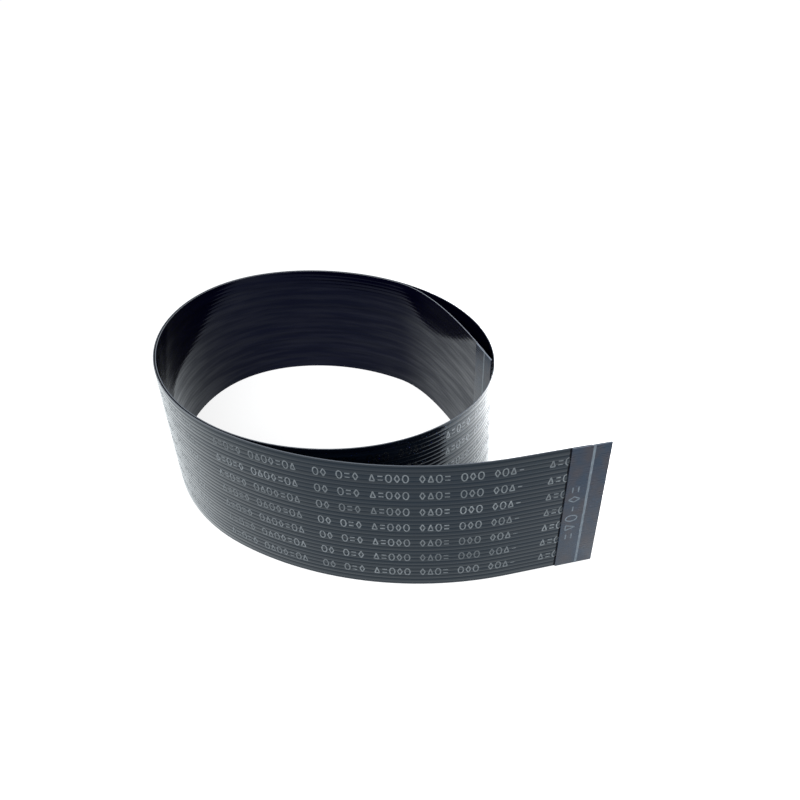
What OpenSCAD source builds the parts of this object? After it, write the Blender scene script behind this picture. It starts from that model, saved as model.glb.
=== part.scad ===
// Flat flexible ribbon cable, standing on its lower edge in a loose coil of nearly two turns.
// Flat conductors lie side by side between two films, and both ends are stiffened for a connector.
// The outer film carries the stiffener at the free end, the inner film at the end inside the coil.

/* [Conductors] */
// Number of flat conductors side by side
conductor_count = 30; // [6:1:40]
// Width of one conductor
conductor_w = 0.7; // [0.3:0.05:1.2]
// Thickness of one conductor
conductor_t = 0.1; // [0.05:0.01:0.2]
// Bare film between neighbouring conductors
conductor_gap = 0.3; // [0.2:0.05:1]
// Film beyond the outermost conductors, where the two films are bonded
edge_margin = 0.65; // [0.4:0.05:2]

/* [Films and stiffeners] */
// Thickness of one film over the conductors
film_t = 0.08; // [0.05:0.01:0.15]
// Length of bare conductor at each end
bare_l = 4; // [2:0.5:6]
// Thickness of a stiffener
stiffener_t = 0.2; // [0.1:0.01:0.3]
// Length of a stiffener along the cable
stiffener_l = 8; // [7:0.5:12]

/* [Coil] */
// Mean reach of the outer turn from the coil's middle
coil_reach = 40; // [34:0.1:60]
// How much the coil is longer one way than its mean reach
oval = 3.6; // [0:0.1:4]
// Direction in which the coil is longest
oval_angle = -50; // [-90:1:90]
// How much one end of the coil is blunter than the other
egg = 0.4; // [0:0.1:0.6]
// Direction of the coil's blunter side
egg_angle = 7; // [-60:1:60]
// Free room between two turns that lie together
turn_gap = 0.18; // [0.15:0.01:0.6]
// Angle that the coil turns before the inner end bends off it
coil_sweep = 542; // [500:1:560]

/* [Free end] */
// Direction from the coil's middle in which the free end leaves the coil
leave_angle = 236; // [210:1:250]
// Radius of the free end's bend
free_bend_r = 72.5; // [50:0.5:100]
// Angle of the free end's bend
free_bend_angle = 46.5; // [10:0.5:60]
// Straight cable between the free end's bend and its stiffener
free_straight = 10.5; // [2:0.5:40]

/* [Inner end] */
// Angle over which the inner end spans the coil before its tip meets the outer turn
inner_span = 60; // [50:1:70]
// How far the inner end runs on before it has bent away from the coil
inner_reach = 11; // [9:0.5:12]
// Straight cable between the inner end's bend and its stiffener
inner_straight = 1; // [0.5:0.5:4]

/* [Hidden] */
// Angle turned from one point of the route to the next, and points along the inner end's bend
turn_step = 6;
inner_points = 10;

function two_digits(k) = str(k < 10 ? "0" : "", k);
function conductor_name(k) = str("conductor_", two_digits(k));

conductor_pitch = conductor_w + conductor_gap;
cable_w = 2 * edge_margin + (conductor_count - 1) * conductor_pitch + conductor_w;
film_near = conductor_t / 2;
film_far = film_near + film_t;
stiffener_far = film_far + stiffener_t;

// A turn that lies inside another one is a cable's thickness and the gap nearer to the middle.
turn_pitch = 2 * film_far + turn_gap;

// A point of the route is [x, y, heading], and the route runs clockwise from the free end inwards.
function ahead(p, d) = [p.x + d * cos(p[2]), p.y + d * sin(p[2]), p[2]];

// The point of the coil that has turned so far from where the free end leaves it. Its tangent
// stands at this reach from the middle, and the reach's slope sets how far along the tangent it is.
function coil_point(turned) =
    let (
        a = leave_angle - turned,
        reach = coil_reach + oval * cos(2 * (a - oval_angle)) + egg * cos(3 * (a - egg_angle))
            - turn_pitch * turned / 360,
        slope = turn_pitch / (2 * PI) - 2 * oval * sin(2 * (a - oval_angle))
            - 3 * egg * sin(3 * (a - egg_angle))
    )
    [reach * cos(a) - slope * sin(a), reach * sin(a) + slope * cos(a), a - 90];

// The free end's bend, as a point that lies so many degrees before the coil begins.
function free_bend_point(back) =
    let (p = coil_point(0), a = p[2] + 90, r = free_bend_r)
    [
        p.x - r * cos(a) + r * cos(a + back),
        p.y - r * sin(a) + r * sin(a + back),
        p[2] + back
    ];

// The inner end bends off the coil along a curve with one control point, then runs straight.
inner_from = coil_point(coil_sweep);
inner_control = ahead(inner_from, inner_reach);
touch = coil_point(coil_sweep + inner_span);
inner_heading = atan2(touch.y - inner_control.y, touch.x - inner_control.x);
inner_tip = [touch.x, touch.y, inner_heading];
inner_to = ahead(inner_tip, -stiffener_l - inner_straight);

function inner_bend_point(t) =
    let (
        a = (1 - t) * (1 - t),
        b = 2 * t * (1 - t),
        c = t * t,
        from = [inner_control.x - inner_from.x, inner_control.y - inner_from.y],
        to = [inner_to.x - inner_control.x, inner_to.y - inner_control.y],
        run = (1 - t) * from + t * to
    )
    [
        a * inner_from.x + b * inner_control.x + c * inner_to.x,
        a * inner_from.y + b * inner_control.y + c * inner_to.y,
        atan2(run.y, run.x)
    ];

free_steps = ceil(free_bend_angle / turn_step);
coil_steps = ceil(coil_sweep / turn_step);
free_from = free_bend_point(free_bend_angle);
free_tip = ahead(free_from, -stiffener_l - free_straight);

// Every bend of the cable, between its two straight ends.
bends = concat(
    [for (k = [free_steps : -1 : 1]) free_bend_point(free_bend_angle * k / free_steps)],
    [for (k = [0 : coil_steps]) coil_point(coil_sweep * k / coil_steps)],
    [for (k = [1 : inner_points]) inner_bend_point(k / inner_points)]
);

// The whole route, less so much of its length at the free end and at the inner end.
function route(free_cut, inner_cut) =
    concat([ahead(free_tip, free_cut)], bends, [ahead(inner_tip, -inner_cut)]);

// A point set off from the route: positive towards the outside of the coil.
function offset_point(p, d) = [p.x - d * sin(p[2]), p.y + d * cos(p[2])];

function band(points, near, far) = concat(
    [for (p = points) offset_point(p, near)],
    [for (k = [len(points) - 1 : -1 : 0]) offset_point(points[k], far)]
);

// The middle of the whole cable's box is the origin.
extremes = concat(
    band(route(0, 0), -film_far, film_far),
    [offset_point(free_tip, stiffener_far), offset_point(inner_tip, -stiffener_far)]
);
middle_x = (min([for (p = extremes) p.x]) + max([for (p = extremes) p.x])) / 2;
middle_y = (min([for (p = extremes) p.y]) + max([for (p = extremes) p.y])) / 2;

// A strip that stands on edge along the given points, between two offsets and two heights.
module strip(points, near, far, low, high) {
    translate([-middle_x, -middle_y, low])
        linear_extrude(high - low)
            polygon(band(points, near, far));
}

// One film. Side is 1 for the outer film and -1 for the inner one. Along both edges it has a lip,
// half as thick as a conductor, with which it is bonded to the other film.
module film(side, points) {
    bonded = route(bare_l, bare_l);
    strip(points, side * film_near, side * film_far, 0, cable_w);
    strip(bonded, 0, side * film_near, 0, edge_margin);
    strip(bonded, 0, side * film_near, cable_w - edge_margin, cable_w);
}

module outer_film() {
    color("#23262d") film(1, route(0, bare_l));
}

module inner_film() {
    color("#1b1d25") film(-1, route(bare_l, 0));
}

module free_end_stiffener() {
    color("#2b3340")
        strip([free_tip, ahead(free_tip, stiffener_l)], film_far, stiffener_far, 0, cable_w);
}

module inner_end_stiffener() {
    color("#2b3340")
        strip([ahead(inner_tip, -stiffener_l), inner_tip], -film_far, -stiffener_far, 0, cable_w);
}

module conductor(k) {
    low = edge_margin + (k - 1) * conductor_pitch;
    color("#c9ccd1") strip(route(0, 0), -film_near, film_near, low, low + conductor_w);
}

outer_film();
inner_film();
free_end_stiffener();
inner_end_stiffener();
for (k = [1 : conductor_count])
    conductor(k);
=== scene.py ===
import math

import bpy
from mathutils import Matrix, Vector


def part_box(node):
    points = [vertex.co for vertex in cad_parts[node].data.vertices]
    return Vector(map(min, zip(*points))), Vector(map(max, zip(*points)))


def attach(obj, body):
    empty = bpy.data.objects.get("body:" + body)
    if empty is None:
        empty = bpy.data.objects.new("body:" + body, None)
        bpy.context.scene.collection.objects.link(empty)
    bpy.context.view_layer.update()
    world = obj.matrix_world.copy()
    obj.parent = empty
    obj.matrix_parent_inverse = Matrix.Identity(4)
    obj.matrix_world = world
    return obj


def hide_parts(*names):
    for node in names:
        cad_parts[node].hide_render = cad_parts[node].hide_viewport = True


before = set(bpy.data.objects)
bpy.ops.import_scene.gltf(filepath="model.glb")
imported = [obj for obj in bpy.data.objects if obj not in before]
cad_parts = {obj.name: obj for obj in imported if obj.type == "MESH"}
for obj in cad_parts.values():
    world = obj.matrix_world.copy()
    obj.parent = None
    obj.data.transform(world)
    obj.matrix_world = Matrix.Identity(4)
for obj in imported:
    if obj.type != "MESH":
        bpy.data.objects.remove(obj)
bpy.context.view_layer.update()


# The coiled cable
# A flat flexible cable 500 mm long and 31 mm wide stands on its lower edge. From its free end it
# winds inwards as a loose oval coil of nearly two turns, and its other end spans the coil's inside.

# The middle of the cable as seen from above, in millimetres and degrees. Each straight length
# includes a stiffener.
COIL_REACH = 40
OVAL, OVAL_ANGLE = 3.6, -50
EGG, EGG_ANGLE = 0.4, 7
TURN_PITCH = 0.44
LEAVE_ANGLE = 236
COIL_SWEEP = 542
FREE_BEND_R, FREE_BEND_ANGLE = 72.5, 46.5
FREE_STRAIGHT = 18.5
INNER_SPAN = 60
INNER_REACH = 11
INNER_STRAIGHT = 9
BEND_STEPS = 50
COIL_STEPS = 560
MM_IN_METRE = 1000


def coil_point(turned):
    """The coil's point and heading once it has turned so far. Its tangent stands at this reach."""
    a = math.radians(LEAVE_ANGLE - turned)
    oval = 2 * (a - math.radians(OVAL_ANGLE))
    egg = 3 * (a - math.radians(EGG_ANGLE))
    reach = COIL_REACH + OVAL * math.cos(oval) + EGG * math.cos(egg) - TURN_PITCH * turned / 360
    slope = TURN_PITCH / math.tau - 2 * OVAL * math.sin(oval) - 3 * EGG * math.sin(egg)
    return (
        reach * math.cos(a) - slope * math.sin(a),
        reach * math.sin(a) + slope * math.cos(a),
        a - math.pi / 2,
    )


def ahead(point, distance):
    """The point that lies so far along another one's heading."""
    x, y, heading = point
    return x + distance * math.cos(heading), y + distance * math.sin(heading), heading


def free_bend_point(back):
    """A point of the free end's bend, so many degrees before the coil begins."""
    x, y, heading = coil_point(0)
    a, b = heading + math.pi / 2, heading + math.pi / 2 + math.radians(back)
    return (
        x + FREE_BEND_R * (math.cos(b) - math.cos(a)),
        y + FREE_BEND_R * (math.sin(b) - math.sin(a)),
        heading + math.radians(back),
    )


def inner_bend_point(t):
    """A point of the curve on which the inner end bends off the coil, from 0 to 1."""
    start = coil_point(COIL_SWEEP)
    bend = ahead(start, INNER_REACH)
    touch = coil_point(COIL_SWEEP + INNER_SPAN)
    heading = math.atan2(touch[1] - bend[1], touch[0] - bend[0])
    end = ahead((touch[0], touch[1], heading), -INNER_STRAIGHT)
    return tuple(
        (1 - t) ** 2 * start[i] + 2 * t * (1 - t) * bend[i] + t * t * end[i] for i in (0, 1)
    ) + (heading,)


route_points = (
    [ahead(free_bend_point(FREE_BEND_ANGLE), -FREE_STRAIGHT)]
    + [free_bend_point(FREE_BEND_ANGLE * (1 - k / BEND_STEPS)) for k in range(BEND_STEPS)]
    + [coil_point(COIL_SWEEP * k / COIL_STEPS) for k in range(COIL_STEPS)]
    + [inner_bend_point(k / BEND_STEPS) for k in range(BEND_STEPS + 1)]
    + [ahead(inner_bend_point(1), INNER_STRAIGHT)]
)
CABLE_LENGTH = sum(
    math.dist(a[:2], b[:2]) for a, b in zip(route_points, route_points[1:])
) / MM_IN_METRE


def new_object(name, data):
    """An object in the scene that shows this data."""
    made = bpy.data.objects.new(name, data)
    bpy.context.scene.collection.objects.link(made)
    return made


# The route lies where the lowest conductor does, which is at the middle of the cable's thickness.
wire_low, wire_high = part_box("conductor_01")
middle = [
    (wire_low[i] + wire_high[i]) / 2
    - (min(p[i] for p in route_points) + max(p[i] for p in route_points)) / 2 / MM_IN_METRE
    for i in (0, 1)
]
route_curve = bpy.data.curves.new("cable route", "CURVE")
route_curve.dimensions = "3D"
route_line = route_curve.splines.new("POLY")
route_line.points.add(len(route_points) - 1)
for route_point, (x, y, _) in zip(route_line.points, route_points):
    route_point.co = (middle[0] + x / MM_IN_METRE, middle[1] + y / MM_IN_METRE, 0, 1)
route = new_object("cable route", route_curve)


# The conductors
# Flat copper wires, tin-plated, 0.7 mm by 0.1 mm, lie side by side at 1.0 mm pitch. They are rolled
# flat, so their edges are slightly round. Over the last 4 mm of each end one face is bare.

CONDUCTORS = sum(name.startswith("conductor_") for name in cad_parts)
CONDUCTOR_W = wire_high[2] - wire_low[2]
CONDUCTOR_T = 0.0001
FIRST_CONDUCTOR = (wire_low[2] + wire_high[2]) / 2
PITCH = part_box("conductor_02")[0][2] - wire_low[2]
BRIGHT_TIN = (0.78, 0.79, 0.8, 1)
DULL_TIN = (0.6, 0.6, 0.59, 1)


def feed(tree, socket, value):
    """Gives an input its value, or links it to the socket that feeds it."""
    if isinstance(value, bpy.types.NodeSocket):
        tree.links.new(value, socket)
    else:
        socket.default_value = value


def add(tree, kind, inputs=None, **settings):
    """A new node with these settings. An input is given a value or the socket that feeds it."""
    node = tree.nodes.new(kind)
    for name, value in settings.items():
        setattr(node, name, value)
    for name, value in (inputs or {}).items():
        feed(tree, node.inputs[name], value)
    return node


def maths(tree, operation, *values):
    """The result of one operation on numbers."""
    return add(tree, "ShaderNodeMath", dict(enumerate(values)), operation=operation).outputs[0]


def minus(tree, value):
    """The number with its sign turned."""
    return maths(tree, "MULTIPLY", value, -1.0)


def soft_step(tree, value, start, end, low=0.0, high=1.0):
    """A number that goes smoothly from low to high while the value goes from start to end."""
    span = {"Value": value, "From Min": start, "From Max": end, "To Min": low, "To Max": high}
    return add(tree, "ShaderNodeMapRange", span, interpolation_type="SMOOTHSTEP").outputs[0]


def vector(tree, x=0.0, y=0.0, z=0.0):
    """A vector from its three parts."""
    return add(tree, "ShaderNodeCombineXYZ", {"X": x, "Y": y, "Z": z}).outputs[0]


def position(tree):
    """Each point's X, Y and Z, by these names."""
    here = add(tree, "GeometryNodeInputPosition").outputs[0]
    return add(tree, "ShaderNodeSeparateXYZ", {"Vector": here}).outputs


def keep(tree, geometry, name, value):
    """The geometry, whose points keep a value under this name for the materials."""
    inputs = {"Geometry": geometry, "Name": name, "Value": value}
    kind = "GeometryNodeStoreNamedAttribute"
    return add(tree, kind, inputs, data_type="FLOAT", domain="POINT").outputs["Geometry"]


def new_tree(name, inputs, outputs, kind="GeometryNodeTree"):
    """An empty node tree with named sockets, each given as (name, type) or (name, type, value)."""
    tree = bpy.data.node_groups.new(name, kind)
    for in_out, sockets in (("INPUT", inputs), ("OUTPUT", outputs)):
        for socket in sockets:
            made = tree.interface.new_socket(
                socket[0], in_out=in_out, socket_type="NodeSocket" + socket[1]
            )
            if len(socket) > 2:
                made.default_value = socket[2]
    return tree, tree.nodes.new("NodeGroupInput").outputs, tree.nodes.new("NodeGroupOutput").inputs


def use(tree, group, **inputs):
    """The first output of a group placed in a tree. Its inputs are named in small letters."""
    kind = "GeometryNodeGroup" if group.bl_idname == "GeometryNodeTree" else "ShaderNodeGroup"
    placed = add(tree, kind, node_tree=group)
    for socket in placed.inputs:
        value = inputs.get(socket.name.lower().replace(" ", "_"))
        if value is not None:
            feed(tree, socket, value)
    return placed.outputs[0]


# Sweeps a section along a stretch of the route. In the section, X is how far it stands off the
# cable's middle, outwards, and Y is its height. The mesh keeps how far each point lies along the
# cable and across it.
sweep, given, put = new_tree(
    "Sweep along the cable",
    [
        ("Section", "Geometry"),
        ("Route", "Object"),
        ("Start", "Float"),
        ("End", "Float"),
        ("Stations", "Int", 2),
        ("Inside Out", "Bool"),
        ("Sharp Angle", "Float", math.radians(35)),
        ("Material", "Material"),
    ],
    [("Mesh", "Geometry")],
)
whole = add(sweep, "GeometryNodeObjectInfo", {"Object": given["Route"]})
stretch = add(
    sweep,
    "GeometryNodeTrimCurve",
    {"Curve": whole.outputs["Geometry"], "Start_001": given["Start"], "End_001": given["End"]},
    mode="LENGTH",
)
stations = add(
    sweep,
    "GeometryNodeResampleCurve",
    {"Curve": stretch.outputs["Curve"], "Count": given["Stations"]},
)
run = add(sweep, "GeometryNodeSplineParameter").outputs["Length"]
along = keep(sweep, stations.outputs["Curve"], "along", maths(sweep, "ADD", run, given["Start"]))
upright = add(sweep, "GeometryNodeSetCurveNormal", {"Curve": along}, mode="Z_UP")
section_at = position(sweep)
across = keep(sweep, given["Section"], "across", section_at["Y"])
half_turned = add(
    sweep,
    "GeometryNodeSetPosition",
    {
        "Geometry": across,
        "Position": vector(sweep, minus(sweep, section_at["X"]), minus(sweep, section_at["Y"])),
    },
)
swept = add(
    sweep,
    "GeometryNodeCurveToMesh",
    {
        "Curve": upright.outputs["Curve"],
        "Profile Curve": half_turned.outputs["Geometry"],
        "Fill Caps": True,
    },
)
outwards_faces = add(
    sweep,
    "GeometryNodeFlipFaces",
    {"Mesh": swept.outputs["Mesh"], "Selection": given["Inside Out"]},
)
smooth = add(sweep, "GeometryNodeSetShadeSmooth", {"Geometry": outwards_faces.outputs["Mesh"]})
edge_angle = add(sweep, "GeometryNodeInputMeshEdgeAngle").outputs[0]
sharp_edges = add(
    sweep,
    "FunctionNodeCompare",
    {"A": edge_angle, "B": given["Sharp Angle"]},
    data_type="FLOAT",
    operation="GREATER_THAN",
)
corners = add(
    sweep,
    "GeometryNodeSetShadeSmooth",
    {
        "Geometry": smooth.outputs["Geometry"],
        "Selection": sharp_edges.outputs["Result"],
        "Shade Smooth": False,
    },
    domain="EDGE",
)
real = add(sweep, "GeometryNodeRealizeInstances", {"Geometry": corners.outputs["Geometry"]})
finish = add(
    sweep,
    "GeometryNodeSetMaterial",
    {"Geometry": real.outputs["Geometry"], "Material": given["Material"]},
)
sweep.links.new(finish.outputs["Geometry"], put["Mesh"])


def build(name, tree, **inputs):
    """The plain mesh that a tree makes, as an object. An input is named in small letters."""
    piece = new_object(name, bpy.data.meshes.new(name))
    modifier = piece.modifiers.new(name, "NODES")
    modifier.node_group = tree
    for socket in tree.interface.items_tree:
        value = inputs.get(socket.name.lower().replace(" ", "_"))
        if socket.in_out == "INPUT" and value is not None:
            modifier[socket.identifier] = value
    evaluated = piece.evaluated_get(bpy.context.evaluated_depsgraph_get())
    mesh = bpy.data.meshes.new_from_object(evaluated)
    piece.modifiers.remove(modifier)
    piece.data = mesh
    return piece


def new_material(name, **settings):
    """A material with one Principled BSDF, whose sockets get these values."""
    material = bpy.data.materials.new(name)
    material.use_nodes = True
    shader = material.node_tree.nodes["Principled BSDF"]
    for socket, value in settings.items():
        shader.inputs[socket.replace("_", " ")].default_value = value
    return material, material.node_tree, shader


def from_mesh(nodes, name):
    """What the mesh keeps under this name: how far a point lies along the cable or across it."""
    return add(nodes, "ShaderNodeAttribute", attribute_name=name).outputs["Fac"]


# Patches that follow the cable, from 0 to 1. Long flat ones are drawn lines and small square ones
# are grain. A higher Low leaves fewer of them.
patches, given, put = new_tree(
    "Patches along the cable",
    [
        ("Patch Length", "Float", 0.01),
        ("Patch Height", "Float", 0.001),
        ("Shift", "Float", 0.0),
        ("Low", "Float", 0.35),
        ("High", "Float", 0.65),
    ],
    [("Amount", "Float")],
    "ShaderNodeTree",
)
at = [
    maths(patches, "DIVIDE", from_mesh(patches, name), size)
    for name, size in (("along", given["Patch Length"]), ("across", given["Patch Height"]))
]
cloud = add(
    patches,
    "ShaderNodeTexNoise",
    {"Vector": vector(patches, at[0], at[1], given["Shift"]), "Scale": 1.0, "Detail": 3.0},
)
amount = soft_step(patches, cloud.outputs["Fac"], given["Low"], given["High"])
patches.links.new(amount, put["Amount"])


def between(nodes, amount, low, high):
    """The number between two others that a mask picks."""
    ends = {"Value": amount, "To Min": low, "To Max": high}
    return add(nodes, "ShaderNodeMapRange", ends).outputs[0]


def blend(nodes, amount, first, second):
    """The colour between two others that a mask picks. Each is a colour or the socket with it."""
    mix = add(nodes, "ShaderNodeMix", {0: amount, 6: first, 7: second}, data_type="RGBA")
    return mix.outputs[2]


def raise_by(nodes, shader, height, strength, distance):
    """Bump on a material from a height mask."""
    inputs = {"Height": height, "Strength": strength, "Distance": distance}
    bump = add(nodes, "ShaderNodeBump", inputs)
    nodes.links.new(bump.outputs["Normal"], shader.inputs["Normal"])


conductor_tree, given, put = new_tree(
    "Conductor",
    [
        ("Route", "Object"),
        ("Height", "Float"),
        ("End", "Float"),
        ("Stations", "Int", 251),
        ("Width", "Float", CONDUCTOR_W),
        ("Thickness", "Float", CONDUCTOR_T),
        ("Corner Radius", "Float", 0.00002),
        ("Material", "Material"),
    ],
    [("Mesh", "Geometry")],
)
flat_wire = add(
    conductor_tree,
    "GeometryNodeCurvePrimitiveQuadrilateral",
    {"Width": given["Thickness"], "Height": given["Width"]},
)
rolled_edges = add(
    conductor_tree,
    "GeometryNodeFilletCurve",
    {"Curve": flat_wire.outputs["Curve"], "Radius": given["Corner Radius"], "Count": 1},
    mode="POLY",
)
at_height = add(
    conductor_tree,
    "GeometryNodeTransform",
    {
        "Geometry": rolled_edges.outputs["Curve"],
        "Translation": vector(conductor_tree, y=given["Height"]),
    },
)
wire_mesh = use(
    conductor_tree,
    sweep,
    section=at_height.outputs["Geometry"],
    route=given["Route"],
    end=given["End"],
    stations=given["Stations"],
    material=given["Material"],
)
conductor_tree.links.new(wire_mesh, put["Mesh"])

tinned_copper, nodes, shader = new_material("tin-plated copper", Metallic=1.0)
dulled = use(nodes, patches, patch_length=0.002, patch_height=0.0004, shift=3.0)
rolled_lines = use(nodes, patches, patch_length=0.004, patch_height=0.00003, low=0.4, high=0.6)
nodes.links.new(blend(nodes, dulled, BRIGHT_TIN, DULL_TIN), shader.inputs["Base Color"])
nodes.links.new(between(nodes, rolled_lines, low=0.2, high=0.38), shader.inputs["Roughness"])
raise_by(nodes, shader, rolled_lines, strength=0.3, distance=0.000002)

for k in range(CONDUCTORS):
    wire = build(
        f"tinned_wire_{k + 1:02d}",
        conductor_tree,
        route=route,
        height=FIRST_CONDUCTOR + k * PITCH,
        end=CABLE_LENGTH,
        material=tinned_copper,
    )
    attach(wire, "root")
    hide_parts(f"conductor_{k + 1:02d}")


# The two films
# Black polyester film, 0.08 mm thick with its adhesive, is laminated over the conductors from both
# sides. It stands up in a fine ridge over each conductor, a lower one on the inner side. Its long
# edges are slit and are paler, partly from the cut and partly as a painted highlight on the edges.
# At each end one film stops short of the contacts.

CABLE_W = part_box("outer_film")[1][2]
FILM_T = 0.00008
BARE_L = 0.004
FILM_FACE = CONDUCTOR_T / 2 + FILM_T
OUTER_RIDGE = CONDUCTOR_T / 2
INNER_RIDGE = 0.000008
OUTER_BLACK, OUTER_GREYER = (0.0005, 0.001, 0.003, 1), (0.002, 0.004, 0.008, 1)
INNER_BLACK, INNER_GREYER = (0.0005, 0.0005, 0.005, 1), (0.001, 0.001, 0.008, 1)
# The slit edges are paler partly because the cut film is greyer and partly as a painted highlight.
SLIT_PALE_AND_HIGHLIGHT = (0.13, 0.145, 0.17, 1)
OUTER_ROUGHNESS, INNER_ROUGHNESS, RUBBED_ROUGHER = 0.12, 0.07, 0.05
GREYER_SHINE, GROOVE_SHINE, SMEAR_SHINE = 0.6, 0.25, 0.6

# How far the film's face stands off the cable's middle, at a height above the lower edge.
ridges, given, put = new_tree(
    "Ridges over the conductors",
    [
        ("Height", "Float"),
        ("Conductors", "Int", CONDUCTORS),
        ("Pitch", "Float", PITCH),
        ("First Conductor", "Float", FIRST_CONDUCTOR),
        ("Crest Width", "Float", 0.00044),
        ("Foot Width", "Float", 0.00098),
        ("Crest", "Float", FILM_FACE),
        ("Ridge Depth", "Float", OUTER_RIDGE),
    ],
    [("Stand Off", "Float")],
)
from_first = maths(ridges, "SUBTRACT", given["Height"], given["First Conductor"])
place = maths(ridges, "DIVIDE", from_first, given["Pitch"])
last = maths(ridges, "SUBTRACT", given["Conductors"], 1.0)
nearest = maths(
    ridges, "MAXIMUM", maths(ridges, "MINIMUM", maths(ridges, "ROUND", place), last), 0.0
)
aside = maths(ridges, "ABSOLUTE", maths(ridges, "SUBTRACT", place, nearest))
shoulder = soft_step(
    ridges,
    maths(ridges, "MULTIPLY", aside, given["Pitch"]),
    start=maths(ridges, "DIVIDE", given["Crest Width"], 2.0),
    end=maths(ridges, "DIVIDE", given["Foot Width"], 2.0),
    low=given["Crest"],
    high=maths(ridges, "SUBTRACT", given["Crest"], given["Ridge Depth"]),
)
ridges.links.new(shoulder, put["Stand Off"])


def pick(tree, number, values, data_type):
    """The one with this number, counted from 0, of a list of values and sockets."""
    switch = add(tree, "GeometryNodeIndexSwitch", data_type=data_type)
    while len(switch.index_switch_items) < len(values):
        switch.index_switch_items.new()
    for input_number, value in enumerate([number, *values]):
        feed(tree, switch.inputs[input_number], value)
    return switch.outputs[0]


# One film. Its section goes up the ridged face and comes down the back.
film_tree, given, put = new_tree(
    "Film",
    [
        ("Route", "Object"),
        ("Side", "Float", 1.0),
        ("Start", "Float"),
        ("End", "Float"),
        ("Stations", "Int", 251),
        ("Points Across", "Int", 249),
        ("Width", "Float", CABLE_W),
        ("Edge Margin", "Float", 0.00065),
        ("Near Face", "Float", CONDUCTOR_T / 2),
        ("Ridge Depth", "Float", OUTER_RIDGE),
        ("Material", "Material"),
    ],
    [("Mesh", "Geometry")],
)
near_face, margin, width = given["Near Face"], given["Edge Margin"], given["Width"]
far_margin = maths(film_tree, "SUBTRACT", width, margin)
# The corners of the back, each as how far it stands off and its height. The back lies against the
# conductors, and along both edges a lip reaches to the other film.
back_corners = (
    (0.0, width),
    (0.0, far_margin),
    (near_face, far_margin),
    (near_face, margin),
    (0.0, margin),
    (0.0, 0.0),
)
point_line = add(
    film_tree,
    "GeometryNodeMeshLine",
    {"Count": maths(film_tree, "ADD", given["Points Across"], float(len(back_corners)))},
)
index = add(film_tree, "GeometryNodeInputIndex").outputs[0]
face_height = maths(
    film_tree,
    "DIVIDE",
    maths(film_tree, "MULTIPLY", index, given["Width"]),
    maths(film_tree, "SUBTRACT", given["Points Across"], 1.0),
)
face_off = use(film_tree, ridges, height=face_height, ridge_depth=given["Ridge Depth"])
back_index = maths(film_tree, "SUBTRACT", index, given["Points Across"])
on_back = add(
    film_tree,
    "FunctionNodeCompare",
    {"A": back_index, "B": -0.5},
    data_type="FLOAT",
    operation="GREATER_THAN",
).outputs["Result"]
section_xy = []
for face_value, back_values in zip((face_off, face_height), zip(*back_corners)):
    back_value = pick(film_tree, back_index, back_values, "FLOAT")
    face_or_back = add(
        film_tree,
        "GeometryNodeSwitch",
        {"Switch": on_back, "False": face_value, "True": back_value},
        input_type="FLOAT",
    )
    section_xy.append(face_or_back.outputs[0])
placed = add(
    film_tree,
    "GeometryNodeSetPosition",
    {
        "Geometry": point_line.outputs["Mesh"],
        "Position": vector(
            film_tree, maths(film_tree, "MULTIPLY", section_xy[0], given["Side"]), section_xy[1]
        ),
    },
)
outline = add(film_tree, "GeometryNodeMeshToCurve", {"Mesh": placed.outputs["Geometry"]})
closed = add(
    film_tree,
    "GeometryNodeSetSplineCyclic",
    {"Geometry": outline.outputs["Curve"], "Cyclic": True},
)
film_mesh = use(
    film_tree,
    sweep,
    section=closed.outputs["Geometry"],
    route=given["Route"],
    start=given["Start"],
    end=given["End"],
    stations=given["Stations"],
    inside_out=maths(film_tree, "LESS_THAN", given["Side"], 0.0),
    material=given["Material"],
)
film_tree.links.new(film_mesh, put["Mesh"])

# The slit edges, where the cable was cut from a wider web.
slit, given, put = new_tree(
    "Slit edges",
    [("Edge Width", "Float", 0.00004), ("Cable Width", "Float", CABLE_W)],
    [("Mask", "Float")],
    "ShaderNodeTree",
)
height = from_mesh(slit, "across")
from_edge = maths(slit, "MINIMUM", height, maths(slit, "SUBTRACT", given["Cable Width"], height))
slit.links.new(soft_step(slit, from_edge, given["Edge Width"], 0.0), put["Mask"])

# The grooves between the conductors, where the film was pressed less and has less shine. They
# start and are deepest at these shares of the pitch from a conductor's middle.
grooves, given, put = new_tree(
    "Grooves between the conductors",
    [
        ("Pitch", "Float", PITCH),
        ("First Conductor", "Float", FIRST_CONDUCTOR),
        ("Groove Start", "Float", 0.28),
        ("Groove Middle", "Float", 0.46),
    ],
    [("Mask", "Float")],
    "ShaderNodeTree",
)
from_first = maths(grooves, "SUBTRACT", from_mesh(grooves, "across"), given["First Conductor"])
aside = maths(grooves, "PINGPONG", maths(grooves, "DIVIDE", from_first, given["Pitch"]), 0.5)
groove = soft_step(grooves, aside, given["Groove Start"], given["Groove Middle"])
grooves.links.new(groove, put["Mask"])


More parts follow.
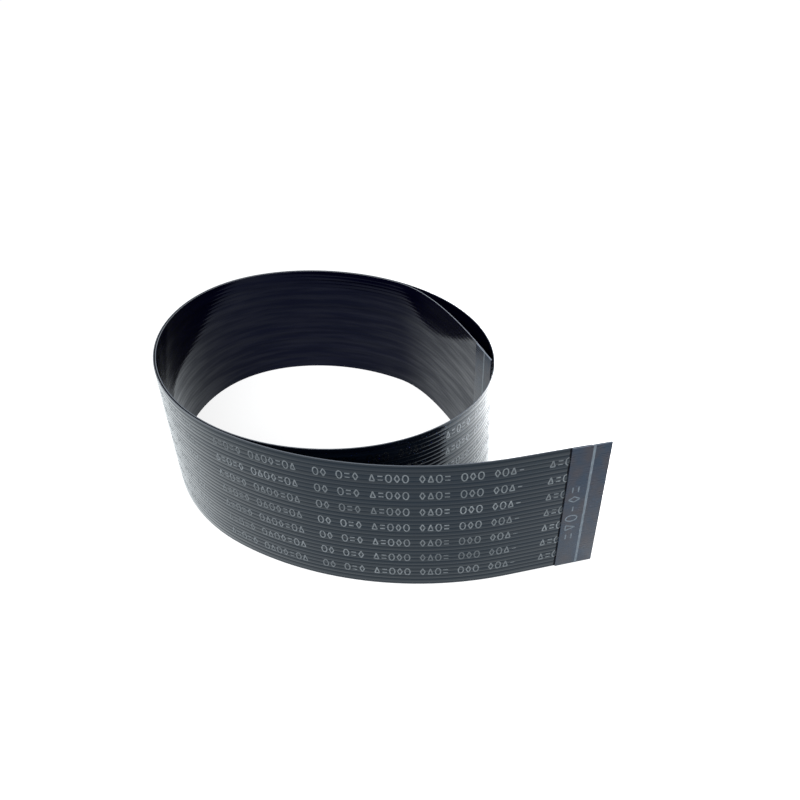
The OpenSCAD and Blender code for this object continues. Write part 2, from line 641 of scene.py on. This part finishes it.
def film_finish(nodes, shader, black, greyer, roughness):
    """Tones, drawn lines, scuffs, grain and a paler slit edge, partly painted highlight. The tones'
    mask is given back.
    """
    tone = use(nodes, patches, patch_length=0.06, patch_height=0.0011, low=0.3, high=0.7)
    drawn = use(nodes, patches, patch_length=0.012, patch_height=0.00018, shift=5.0)
    scuffs = use(
        nodes, patches, patch_length=0.008, patch_height=0.00012, shift=9.0, low=0.6, high=0.75
    )
    grain = use(nodes, patches, patch_length=0.0012, patch_height=0.0008, shift=2.0)
    face_colour = blend(nodes, tone, black, greyer)
    # The slit edge's paler colour is partly the cut and partly painted highlight.
    nodes.links.new(
        blend(nodes, use(nodes, slit), face_colour, SLIT_PALE_AND_HIGHLIGHT), shader.inputs["Base Color"]
    )
    # A drawn line roughens the film half as much as a scuff does.
    rubbed = maths(nodes, "MAXIMUM", scuffs, maths(nodes, "MULTIPLY", drawn, 0.5))
    nodes.links.new(
        between(nodes, rubbed, roughness, roughness + RUBBED_ROUGHER), shader.inputs["Roughness"]
    )
    raise_by(nodes, shader, grain, strength=0.1, distance=0.000002)
    return tone


black_film, nodes, shader = new_material(
    "black polyester film",
    IOR=1.33,
    Specular_Tint=(0.5, 0.75, 1, 1),
    Coat_Roughness=0.06,
    Coat_IOR=1.32,
)
tone = film_finish(nodes, shader, OUTER_BLACK, OUTER_GREYER, OUTER_ROUGHNESS)
shine = maths(
    nodes,
    "MULTIPLY",
    between(nodes, tone, 1.0, GREYER_SHINE),
    between(nodes, use(nodes, grooves), 1.0, GROOVE_SHINE),
)
nodes.links.new(shine, shader.inputs["Coat Weight"])

matt_film, nodes, shader = new_material(
    "black polyester film, inner face",
    IOR=1.21,
    Specular_Tint=(0.55, 0.62, 1, 1),
    Coat_Roughness=0.12,
    Coat_IOR=1.2,
)
film_finish(nodes, shader, INNER_BLACK, INNER_GREYER, INNER_ROUGHNESS)
smears = use(
    nodes, patches, patch_length=0.016, patch_height=0.0014, shift=13.0, low=0.35, high=0.7
)
nodes.links.new(maths(nodes, "MULTIPLY", smears, SMEAR_SHINE), shader.inputs["Coat Weight"])

outer_film = build(
    "outer_film_ridged",
    film_tree,
    route=route,
    side=1.0,
    start=0.0,
    end=CABLE_LENGTH - BARE_L,
    material=black_film,
)
inner_film = build(
    "inner_film_ridged",
    film_tree,
    route=route,
    side=-1.0,
    start=BARE_L,
    end=CABLE_LENGTH,
    ridge_depth=INNER_RIDGE,
    material=matt_film,
)
for piece, node in ((outer_film, "outer_film"), (inner_film, "inner_film")):
    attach(piece, "root")
    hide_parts(node)


# The stiffeners
# Blue-grey polyester tape, 0.2 mm thick and 8 mm long, is glued to one face of each end behind its
# contacts, so that the end is stiff enough to push into a connector.

STIFFENER_L = 0.008
STIFFENER_T = 0.0002
TAPE_BLUE, TAPE_GREY = (0.006, 0.02, 0.044, 1), (0.023, 0.023, 0.034, 1)
TAPE_CUT = (0.16, 0.19, 0.24, 1)

stiffener_tree, given, put = new_tree(
    "Stiffener",
    [
        ("Route", "Object"),
        ("Start", "Float"),
        ("End", "Float"),
        ("Side", "Float", 1.0),
        ("Near Face", "Float", FILM_FACE),
        ("Thickness", "Float", STIFFENER_T),
        ("Width", "Float", CABLE_W),
        ("Corner Radius", "Float", 0.00004),
        ("Material", "Material"),
    ],
    [("Mesh", "Geometry")],
)
tape = add(
    stiffener_tree,
    "GeometryNodeCurvePrimitiveQuadrilateral",
    {"Width": given["Thickness"], "Height": given["Width"]},
)
eased = add(
    stiffener_tree,
    "GeometryNodeFilletCurve",
    {"Curve": tape.outputs["Curve"], "Radius": given["Corner Radius"], "Count": 3},
    mode="POLY",
)
half_thickness = maths(stiffener_tree, "DIVIDE", given["Thickness"], 2.0)
tape_middle = maths(
    stiffener_tree,
    "MULTIPLY",
    maths(stiffener_tree, "ADD", given["Near Face"], half_thickness),
    given["Side"],
)
on_film = add(
    stiffener_tree,
    "GeometryNodeTransform",
    {
        "Geometry": eased.outputs["Curve"],
        "Translation": vector(
            stiffener_tree, tape_middle, maths(stiffener_tree, "DIVIDE", given["Width"], 2.0)
        ),
    },
)
tape_mesh = use(
    stiffener_tree,
    sweep,
    section=on_film.outputs["Geometry"],
    route=given["Route"],
    start=given["Start"],
    end=given["End"],
    material=given["Material"],
)
stiffener_tree.links.new(tape_mesh, put["Mesh"])

tape_plastic, nodes, shader = new_material("blue-grey stiffener tape", IOR=1.43)
mottle = use(
    nodes, patches, patch_length=0.0028, patch_height=0.004, shift=1.0, low=0.3, high=0.7
)
tape_lines = use(nodes, patches, patch_length=0.006, patch_height=0.0003, shift=4.0)
tape_grain = use(nodes, patches, patch_length=0.0004, patch_height=0.0004, shift=6.0)
tape_colour = blend(nodes, mottle, TAPE_BLUE, TAPE_GREY)
nodes.links.new(
    blend(nodes, use(nodes, slit), tape_colour, TAPE_CUT), shader.inputs["Base Color"]
)
nodes.links.new(between(nodes, tape_lines, low=0.27, high=0.31), shader.inputs["Roughness"])
raise_by(nodes, shader, tape_grain, strength=0.3, distance=0.000003)

for name, node, start, side in (
    ("free_end_stiffener_tape", "free_end_stiffener", 0.0, 1.0),
    ("inner_end_stiffener_tape", "inner_end_stiffener", CABLE_LENGTH - STIFFENER_L, -1.0),
):
    stiffener = build(
        name,
        stiffener_tree,
        route=route,
        start=start,
        end=start + STIFFENER_L,
        side=side,
        material=tape_plastic,
    )
    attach(stiffener, "root")
    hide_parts(node)


# The print on the film
# Seven rows of small pale marks are printed by a roller all along the outer film. They are plain
# rings, diamonds, wedges and dashes. The ink has a soft shine of its own.

ROWS = 7
ROW_SPACING = 0.00407
FIRST_ROW = 0.0036
FIRST_MARK = 0.00835
MARK_PITCH = 0.001525
INK_T = 0.00001
THIN_INK, FULL_INK = (0.115, 0.125, 0.135, 1), (0.24, 0.255, 0.27, 1)
WORN_INK = (0.12, 0.13, 0.14, 1)
# One length of the roller, from the free end inwards. Each sign is one mark, and a blank is none.
ROLLER = "o=^   -^ov ovo =o^v ovo=^ v=o vo  ^o=vo^o v="
# The signs of a ring, a diamond, a wedge, a dash and two dashes.
MARK_SIGNS = "ov^-="

# Lays a flat drawing on one face of the cable. The drawing is as one looks at the outer face with
# the free end to the right: X is 0 at the free tip and Y is the height above the lower edge.
lay, given, put = new_tree(
    "Lay on the cable",
    [
        ("Drawing", "Geometry"),
        ("Route", "Object"),
        ("Side", "Float", 1.0),
        ("Stand Off", "Float"),
        ("Material", "Material"),
    ],
    [("Mesh", "Geometry")],
)
drawn_at = position(lay)
from_tip = minus(lay, drawn_at["X"])
whole = add(lay, "GeometryNodeObjectInfo", {"Object": given["Route"]})
below = add(
    lay,
    "GeometryNodeSampleCurve",
    {"Curves": whole.outputs["Geometry"], "Length": from_tip},
    mode="LENGTH",
)
outwards = add(
    lay,
    "ShaderNodeVectorMath",
    {0: (0, 0, 1), 1: below.outputs["Tangent"]},
    operation="CROSS_PRODUCT",
)
off_middle = add(
    lay,
    "ShaderNodeVectorMath",
    {
        0: outwards.outputs["Vector"],
        "Scale": maths(lay, "MULTIPLY", given["Stand Off"], given["Side"]),
    },
    operation="SCALE",
)
raised = add(
    lay,
    "ShaderNodeVectorMath",
    {0: below.outputs["Position"], 1: vector(lay, z=drawn_at["Y"])},
    operation="ADD",
)
on_face = add(
    lay,
    "ShaderNodeVectorMath",
    {0: raised.outputs["Vector"], 1: off_middle.outputs["Vector"]},
    operation="ADD",
)
measured = keep(lay, given["Drawing"], "along", from_tip)
measured = keep(lay, measured, "across", drawn_at["Y"])
laid = add(
    lay,
    "GeometryNodeSetPosition",
    {"Geometry": measured, "Position": on_face.outputs["Vector"]},
)
facing = add(
    lay,
    "GeometryNodeFlipFaces",
    {"Mesh": laid.outputs["Geometry"], "Selection": maths(lay, "LESS_THAN", given["Side"], 0.0)},
)
finish = add(
    lay,
    "GeometryNodeSetMaterial",
    {"Geometry": facing.outputs["Mesh"], "Material": given["Material"]},
)
lay.links.new(finish.outputs["Geometry"], put["Mesh"])

# One mark of each kind, drawn with a flat stroke: ring, diamond, wedge, dash and two dashes.
marks, given, put = new_tree(
    "Marks",
    [
        ("Width", "Float"),
        ("Height", "Float"),
        ("Stroke", "Float"),
        ("Ring Points", "Int", 18),
    ],
    [("Marks", "Geometry")],
)
half_w = maths(marks, "MULTIPLY", given["Width"], 0.5)
half_h = maths(marks, "MULTIPLY", given["Height"], 0.5)
half_stroke = maths(marks, "MULTIPLY", given["Stroke"], 0.5)
nib = add(
    marks,
    "GeometryNodeCurvePrimitiveLine",
    {"Start": vector(marks, minus(marks, half_stroke)), "End": vector(marks, half_stroke)},
)


def straight(x1, y1, x2, y2, points):
    """A straight stroke between two places, given as shares of half the mark's size."""
    ends = [
        vector(marks, maths(marks, "MULTIPLY", half_w, x), maths(marks, "MULTIPLY", half_h, y))
        for x, y in ((x1, y1), (x2, y2))
    ]
    line = add(marks, "GeometryNodeCurvePrimitiveLine", {"Start": ends[0], "End": ends[1]})
    stroke = add(
        marks, "GeometryNodeResampleCurve", {"Curve": line.outputs["Curve"], "Count": points}
    )
    return stroke.outputs["Curve"]


circle = add(
    marks,
    "GeometryNodeCurvePrimitiveCircle",
    {"Resolution": given["Ring Points"], "Radius": 1.0},
)
ring = add(
    marks,
    "GeometryNodeTransform",
    {"Geometry": circle.outputs["Curve"], "Scale": vector(marks, half_w, half_h, 1.0)},
)
tips = ((0.0, 1.0), (0.9, 0.0), (0.0, -1.0), (-0.9, 0.0))
diamond = [straight(*tips[k - 1], *tips[k], points=5) for k in (1, 2, 3, 0)]
wedge = [
    straight(-0.9, -0.8, 0.0, 0.9, points=7),
    straight(0.0, 0.9, 0.9, -0.8, points=7),
    straight(0.9, -0.8, -0.9, -0.8, points=4),
]
one_dash = [straight(-0.8, 0.0, 0.8, 0.0, points=4)]
two_dashes = [straight(-0.9, y, 0.9, y, points=4) for y in (0.5, -0.5)]
shapes = [[ring.outputs["Geometry"]], diamond, wedge, one_dash, two_dashes]
kinds = add(marks, "GeometryNodeJoinGeometry")
for strokes in reversed(shapes):
    shape = add(marks, "GeometryNodeJoinGeometry")
    for stroke in strokes:
        marks.links.new(stroke, shape.inputs[0])
    level = add(marks, "GeometryNodeSetCurveNormal", {"Curve": shape.outputs[0]}, mode="Z_UP")
    inked = add(
        marks,
        "GeometryNodeCurveToMesh",
        {"Curve": level.outputs["Curve"], "Profile Curve": nib.outputs["Curve"]},
    )
    one = add(marks, "GeometryNodeGeometryToInstance", {"Geometry": inked.outputs["Mesh"]})
    marks.links.new(one.outputs[0], kinds.inputs[0])
marks.links.new(kinds.outputs[0], put["Marks"])

# The rows all along the film. Each place in them takes its mark from the roller's column.
rows_tree, given, put = new_tree(
    "Printed rows",
    [
        ("Route", "Object"),
        ("Rows", "Int", ROWS),
        ("Row Spacing", "Float", ROW_SPACING),
        ("First Row", "Float", FIRST_ROW),
        ("Columns", "Int"),
        ("Mark Pitch", "Float", MARK_PITCH),
        ("First Mark", "Float", FIRST_MARK),
        ("Mark Width", "Float", 0.00105),
        ("Mark Height", "Float", 0.00175),
        ("Stroke", "Float", 0.00025),
        ("Ink Thickness", "Float", INK_T),
        ("Material", "Material"),
    ],
    [("Mesh", "Geometry")],
)
places = add(
    rows_tree,
    "GeometryNodeMeshGrid",
    {"Size X": 1.0, "Size Y": 1.0, "Vertices X": given["Columns"], "Vertices Y": given["Rows"]},
)
place_index = add(rows_tree, "GeometryNodeInputIndex").outputs[0]
row = maths(rows_tree, "MODULO", place_index, given["Rows"])
column = maths(rows_tree, "FLOOR", maths(rows_tree, "DIVIDE", place_index, given["Rows"]))
mark_from_tip = maths(rows_tree, "MULTIPLY_ADD", column, given["Mark Pitch"], given["First Mark"])
row_height = maths(rows_tree, "MULTIPLY_ADD", row, given["Row Spacing"], given["First Row"])
set_out = add(
    rows_tree,
    "GeometryNodeSetPosition",
    {
        "Geometry": places.outputs["Mesh"],
        "Position": vector(rows_tree, minus(rows_tree, mark_from_tip), row_height),
    },
)
roller_column = maths(rows_tree, "MODULO", column, float(len(ROLLER)))
kind_numbers = [MARK_SIGNS.find(sign) for sign in ROLLER]
kind_here = pick(rows_tree, roller_column, kind_numbers, "INT")
printed = add(
    rows_tree,
    "FunctionNodeCompare",
    {2: kind_here, 3: 0},
    data_type="INT",
    operation="GREATER_EQUAL",
)
stamped = add(
    rows_tree,
    "GeometryNodeInstanceOnPoints",
    {
        "Points": set_out.outputs["Geometry"],
        "Selection": printed.outputs["Result"],
        "Instance": use(
            rows_tree,
            marks,
            width=given["Mark Width"],
            height=given["Mark Height"],
            stroke=given["Stroke"],
        ),
        "Pick Instance": True,
        "Instance Index": kind_here,
    },
)
real = add(
    rows_tree, "GeometryNodeRealizeInstances", {"Geometry": stamped.outputs["Instances"]}
)
film_off = use(rows_tree, ridges, height=position(rows_tree)["Y"])
rows_mesh = use(
    rows_tree,
    lay,
    drawing=real.outputs["Geometry"],
    route=given["Route"],
    stand_off=maths(rows_tree, "ADD", film_off, given["Ink Thickness"]),
    material=given["Material"],
)
rows_tree.links.new(rows_mesh, put["Mesh"])

pale_ink, nodes, shader = new_material("pale print ink", Metallic=1.0)
coverage = use(nodes, patches, patch_length=0.0004, patch_height=0.0004, low=0.3, high=0.6)
worn = use(nodes, patches, patch_length=0.02, patch_height=0.006, shift=7.0, low=0.3, high=0.7)
ink_colour = blend(nodes, coverage, THIN_INK, FULL_INK)
nodes.links.new(blend(nodes, worn, ink_colour, WORN_INK), shader.inputs["Base Color"])
nodes.links.new(between(nodes, coverage, low=0.3, high=0.2), shader.inputs["Roughness"])

printed_rows = build(
    "printed_rows",
    rows_tree,
    route=route,
    columns=int((CABLE_LENGTH - BARE_L - FIRST_MARK) / MARK_PITCH),
    material=pale_ink,
)
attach(printed_rows, "root")


# The marks on the stiffeners
# A pale line across each stiffener shows how far the end goes into its connector. The free end's
# stiffener also has a column of plain marks. Dashes of painted shadow lie on the film along its
# edge.

INK_ON_TAPE = FILM_FACE + STIFFENER_T + INK_T
INSERTED_L = 0.0035
# The dashes along the free end's stiffener are painted shadow of the tape's step, laid on the film.
SHADOW_STRIP_W = 0.0003
SHADOW_DASH_L = 0.00275
LINE_PALE, LINE_THIN = (0.12, 0.155, 0.19, 1), (0.085, 0.11, 0.14, 1)
SHADOW_BLACK, SHADOW_GREYER = (0.001, 0.0012, 0.003, 1), (0.004, 0.004, 0.007, 1)

# A straight line across the cable, drawn as a row of equal dashes that may join.
lines_tree, given, put = new_tree(
    "Line across the cable",
    [
        ("Route", "Object"),
        ("Side", "Float", 1.0),
        ("From Tip", "Float"),
        ("Line Width", "Float", 0.00052),
        ("Dashes", "Int", 1),
        ("First Dash", "Float", CABLE_W / 2),
        ("Dash Spacing", "Float", ROW_SPACING),
        ("Dash Length", "Float", CABLE_W),
        ("Points in Dash", "Int", 9),
        ("Cable Width", "Float", CABLE_W),
        ("Stand Off", "Float"),
        ("Material", "Material"),
    ],
    [("Mesh", "Geometry")],
)
dash_places = add(
    lines_tree,
    "GeometryNodeMeshLine",
    {
        "Count": given["Dashes"],
        "Start Location": vector(
            lines_tree, minus(lines_tree, given["From Tip"]), given["First Dash"]
        ),
        "Offset": vector(lines_tree, y=given["Dash Spacing"]),
    },
)
dash = add(
    lines_tree,
    "GeometryNodeMeshGrid",
    {
        "Size X": given["Line Width"],
        "Size Y": given["Dash Length"],
        "Vertices X": 2,
        "Vertices Y": given["Points in Dash"],
    },
)
dashes = add(
    lines_tree,
    "GeometryNodeInstanceOnPoints",
    {"Points": dash_places.outputs["Mesh"], "Instance": dash.outputs["Mesh"]},
)
real = add(
    lines_tree, "GeometryNodeRealizeInstances", {"Geometry": dashes.outputs["Instances"]}
)
dash_at = position(lines_tree)
above_edge = maths(lines_tree, "MAXIMUM", dash_at["Y"], 0.0)
on_cable = maths(lines_tree, "MINIMUM", above_edge, given["Cable Width"])
trimmed = add(
    lines_tree,
    "GeometryNodeSetPosition",
    {
        "Geometry": real.outputs["Geometry"],
        "Position": vector(lines_tree, dash_at["X"], on_cable),
    },
)
line_mesh = use(
    lines_tree,
    lay,
    drawing=trimmed.outputs["Geometry"],
    route=given["Route"],
    side=given["Side"],
    stand_off=given["Stand Off"],
    material=given["Material"],
)
lines_tree.links.new(line_mesh, put["Mesh"])

# A column of marks that are read with the head turned to the right.
label_tree, given, put = new_tree(
    "Label on the stiffener",
    [
        ("Route", "Object"),
        ("Marks", "Int", 6),
        ("From Tip", "Float", 0.00605),
        ("First Mark", "Float", 0.0207),
        ("Mark Spacing", "Float", 0.0025),
        ("Mark Width", "Float", 0.0015),
        ("Mark Height", "Float", 0.0024),
        ("Stroke", "Float", 0.00028),
        ("First Kind", "Int", 4),
        ("Kind Step", "Int", 2),
        ("Stand Off", "Float"),
        ("Material", "Material"),
    ],
    [("Mesh", "Geometry")],
)
label_places = add(
    label_tree,
    "GeometryNodeMeshLine",
    {
        "Count": given["Marks"],
        "Start Location": vector(
            label_tree, minus(label_tree, given["From Tip"]), given["First Mark"]
        ),
        "Offset": vector(label_tree, y=minus(label_tree, given["Mark Spacing"])),
    },
)
mark_number = add(label_tree, "GeometryNodeInputIndex").outputs[0]
kind_count = maths(label_tree, "MULTIPLY_ADD", mark_number, given["Kind Step"], given["First Kind"])
next_kind = maths(label_tree, "MODULO", kind_count, float(len(MARK_SIGNS)))
label_marks = add(
    label_tree,
    "GeometryNodeInstanceOnPoints",
    {
        "Points": label_places.outputs["Mesh"],
        "Instance": use(
            label_tree,
            marks,
            width=given["Mark Width"],
            height=given["Mark Height"],
            stroke=given["Stroke"],
        ),
        "Pick Instance": True,
        "Instance Index": next_kind,
        "Rotation": vector(label_tree, z=-math.pi / 2),
    },
)
real = add(
    label_tree, "GeometryNodeRealizeInstances", {"Geometry": label_marks.outputs["Instances"]}
)
label_mesh = use(
    label_tree,
    lay,
    drawing=real.outputs["Geometry"],
    route=given["Route"],
    stand_off=given["Stand Off"],
    material=given["Material"],
)
label_tree.links.new(label_mesh, put["Mesh"])

line_ink, nodes, shader = new_material("pale blue line ink", Roughness=0.32, IOR=1.5)
thin_spots = use(nodes, patches, patch_length=0.0005, patch_height=0.0012, shift=8.0)
nodes.links.new(blend(nodes, thin_spots, LINE_PALE, LINE_THIN), shader.inputs["Base Color"])
# Painted shadow: a dark matt sheet with fine speckles and bumps, for the step along the stiffener.
painted_shadow, nodes, shader = new_material("black adhesive", Roughness=0.55, IOR=1.2)
shadow_speckle = use(nodes, patches, patch_length=0.0002, patch_height=0.0006, shift=11.0)
nodes.links.new(
    blend(nodes, shadow_speckle, SHADOW_BLACK, SHADOW_GREYER), shader.inputs["Base Color"]
)
raise_by(nodes, shader, shadow_speckle, strength=0.4, distance=0.00001)

for piece in (
    build(
        "free_end_insertion_line",
        lines_tree,
        route=route,
        from_tip=INSERTED_L,
        stand_off=INK_ON_TAPE,
        material=line_ink,
    ),
    build(
        "inner_end_insertion_line",
        lines_tree,
        route=route,
        side=-1.0,
        from_tip=CABLE_LENGTH - INSERTED_L,
        stand_off=INK_ON_TAPE,
        material=line_ink,
    ),
    # Painted shadow in dashes on the film along the free end's stiffener, broken at the print rows.
    build(
        "free_end_adhesive_edge",
        lines_tree,
        route=route,
        from_tip=STIFFENER_L + SHADOW_STRIP_W / 2,
        line_width=SHADOW_STRIP_W,
        dashes=ROWS + 1,
        first_dash=FIRST_ROW - ROW_SPACING / 2,
        dash_length=SHADOW_DASH_L,
        stand_off=FILM_FACE + INK_T,
        material=painted_shadow,
    ),
    build(
        "free_end_label",
        label_tree,
        route=route,
        stand_off=INK_ON_TAPE,
        material=line_ink,
    ),
):
    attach(piece, "root")


# The studio
# White paper lies in a white room with soft light from all sides. A large lamp stands in front, and
# a small one hangs above the paper behind the right side of the coil. The paper shines like a lit
# table where the camera or a mirrored ray meets it. The camera looks down from the free end's side.

# The focal length is in pixels of the photo, and the angles are in degrees.
PHOTO_W = 800
FOCAL_LENGTH = 687
SENSOR_W = 36
CAMERA_PLACE = (0.00919, -0.13667, 0.1098)
CAMERA_DOWN = 34.555
CAMERA_TURN = -1.497
FLOOR_REACH = 4
PAPER = (0.9, 0.9, 0.9, 1)
TABLE_LIGHT = 1.54
SEEN_COLOUR, MIRRORED_COLOUR = (1, 1, 1, 1), (0.9, 0.97, 1, 1)
SEEN_SHARE, MIRRORED_SHARE = 0.53, 0.6
ROOM_COLOUR = (0.94, 0.97, 1, 1)
ROOM_LIGHT, ROOM_SEEN = 0.5, 1.08

camera_data = bpy.data.cameras.new("camera")
camera_data.sensor_width = SENSOR_W
camera_data.lens = SENSOR_W * FOCAL_LENGTH / PHOTO_W
camera_data.clip_start, camera_data.clip_end = 0.01, 20
camera = new_object("camera", camera_data)
camera.location = CAMERA_PLACE
camera.rotation_mode = "ZYX"
camera.rotation_euler = (math.radians(90 - CAMERA_DOWN), 0, math.radians(CAMERA_TURN))
bpy.context.scene.camera = camera

floor_mesh = bpy.data.meshes.new("floor")
floor_corners = [
    (x * FLOOR_REACH, y * FLOOR_REACH, 0) for x, y in ((-1, -1), (1, -1), (1, 1), (-1, 1))
]
floor_mesh.from_pydata(floor_corners, [], [(0, 1, 2, 3)])
floor = new_object("floor", floor_mesh)
white_paper, nodes, shader = new_material(
    "white paper", Base_Color=PAPER, Roughness=0.9, Specular_IOR_Level=0.0
)
path = add(nodes, "ShaderNodeLightPath").outputs
mirrored = maths(nodes, "MAXIMUM", path["Is Glossy Ray"], path["Is Transmission Ray"])
glow_colour = blend(nodes, mirrored, SEEN_COLOUR, MIRRORED_COLOUR)
glow = add(nodes, "ShaderNodeEmission", {"Color": glow_colour, "Strength": TABLE_LIGHT})
seen = maths(nodes, "MULTIPLY", path["Is Camera Ray"], SEEN_SHARE)
glow_share = maths(nodes, "MULTIPLY_ADD", mirrored, MIRRORED_SHARE, seen)
backlit = add(
    nodes,
    "ShaderNodeMixShader",
    {0: glow_share, 1: shader.outputs["BSDF"], 2: glow.outputs[0]},
)
nodes.links.new(backlit.outputs[0], nodes.nodes["Material Output"].inputs["Surface"])
floor_mesh.materials.append(white_paper)

world = bpy.data.worlds.new("white room")
bpy.context.scene.world = world
world.use_nodes = True
sky = world.node_tree
room = sky.nodes["Background"]
room.inputs["Color"].default_value = ROOM_COLOUR
path = add(sky, "ShaderNodeLightPath").outputs
mirrored = maths(sky, "MAXIMUM", path["Is Glossy Ray"], path["Is Transmission Ray"])
seen_or_mirrored = maths(sky, "MAXIMUM", path["Is Camera Ray"], mirrored)
sky.links.new(between(sky, seen_or_mirrored, ROOM_LIGHT, ROOM_SEEN), room.inputs["Strength"])


def round_lamp(name, size, power, place, tilt=0, turn=0, spread=180):
    """A lamp in metres, watts and degrees. Without a tilt and a turn it looks straight down."""
    lamp_data = bpy.data.lights.new(name, "AREA")
    lamp_data.shape = "DISK"
    lamp_data.size = size
    lamp_data.energy = power
    lamp_data.spread = math.radians(spread)
    lamp = new_object(name, lamp_data)
    lamp.location = place
    lamp.rotation_euler = (math.radians(tilt), 0, math.radians(turn))


round_lamp("soft lamp", size=0.5, power=6.0, place=(-0.15, -0.75, 0.6), tilt=51, turn=-11)
round_lamp("floor lamp", size=0.12, power=1.5, place=(0.143, 0.062, 0.3), spread=40)

bpy.context.scene.view_settings.view_transform = "Standard"

bpy.data.objects.remove(route)
